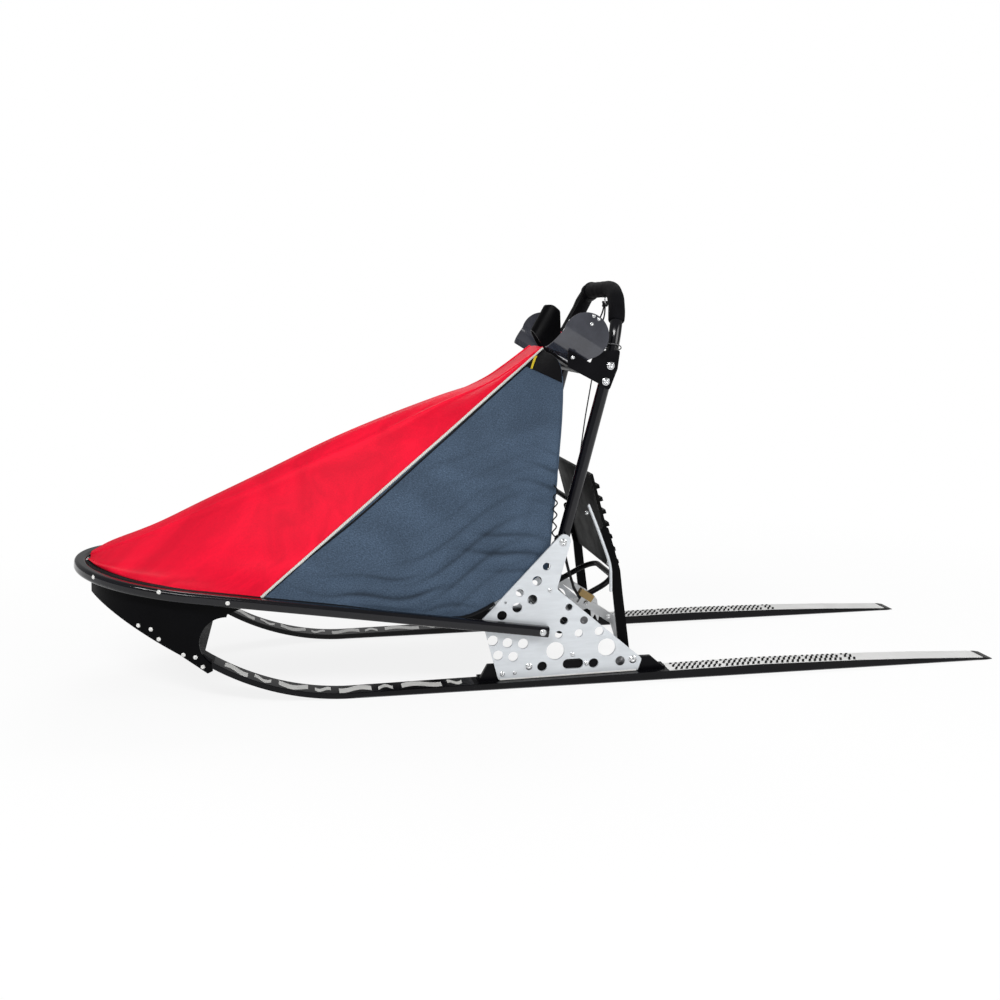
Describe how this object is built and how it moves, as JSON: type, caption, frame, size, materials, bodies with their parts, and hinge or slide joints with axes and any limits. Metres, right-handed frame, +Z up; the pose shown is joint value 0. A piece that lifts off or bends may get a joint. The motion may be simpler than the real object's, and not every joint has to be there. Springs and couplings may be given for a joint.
{
  "type": "sprint dog sled",
  "caption": "Dog sled on two ski runners with pierced side plates, bent bow, raked handlebar, tent-shaped cargo bag, claw brake and stowed drag mat.",
  "frame": {"origin": "middle of the sled's length and width, on the surface the runner soles stand on", "axes": "+X to the runner tails, +Y to the sled's right, +Z up"},
  "size_m": [2.166, 0.576, 0.915],
  "materials": {
    "runner_base": "smooth",
    "black_aluminium": "satin black anodised",
    "plate_aluminium": "satin",
    "bow_black": "semi gloss",
    "foam_grip": "matt foam",
    "guard_plastic": "gloss",
    "bag_slate": "coated woven cloth",
    "bag_red": "coated woven cloth",
    "bag_black": "coated woven cloth",
    "brake_aluminium": "brushed",
    "claw_steel": "bright",
    "mat_rubber": "matt",
    "eye_steel": "satin"
  },
  "bodies": {
    "sled": {"runner_left": "runner_base", "runner_right": "runner_base", "runner_bracket_left": "black_aluminium", "runner_bracket_right": "black_aluminium", "side_plate_left": "plate_aluminium", "side_plate_right": "plate_aluminium", "side_rail_left": "bow_black", "side_rail_right": "bow_black", "brush_bow": "bow_black", "front_plate_left": "black_aluminium", "front_plate_right": "black_aluminium", "front_cross_bar_upper": "black_aluminium", "front_cross_bar_lower": "black_aluminium", "tow_eye": "eye_steel", "plate_cross_tube": "black_aluminium", "handlebar": "black_aluminium", "handlebar_grip": "foam_grip", "handlebar_cross_rod": "black_aluminium", "handlebar_bracket_left": "black_aluminium", "handlebar_bracket_right": "black_aluminium", "bracket_cross_tube": "black_aluminium", "hand_guard_left": "guard_plastic", "hand_guard_right": "guard_plastic", "center_shield": "guard_plastic", "bag_side_left": "bag_slate", "bag_side_right": "bag_slate", "bag_top": "bag_red", "bag_floor": "bag_black", "bag_rear_panel": "bag_black"},
    "brake": {"brake_axle": "black_aluminium", "brake_arm_left": "brake_aluminium", "brake_arm_right": "brake_aluminium", "brake_claw_left": "claw_steel", "brake_claw_right": "claw_steel", "brake_pedal": "black_aluminium"},
    "drag_mat_unit": {"mat_arm_left": "black_aluminium", "mat_arm_right": "black_aluminium", "drag_mat": "mat_rubber"}
  },
  "joints": [
    {"name": "brake_pivot", "type": "hinge", "parent": "sled", "child": "brake", "pos_m": [0.068, 0, 0.146], "axis": [0, 1, 0], "range_deg": [0, 20], "stiffness_Nm_per_rad": 8, "springref_deg": -20.05},
    {"name": "drag_mat_pivot", "type": "hinge", "parent": "sled", "child": "drag_mat_unit", "pos_m": [0.184, 0, 0.045], "axis": [0, 1, 0], "range_deg": [0, 104]}
  ]
}
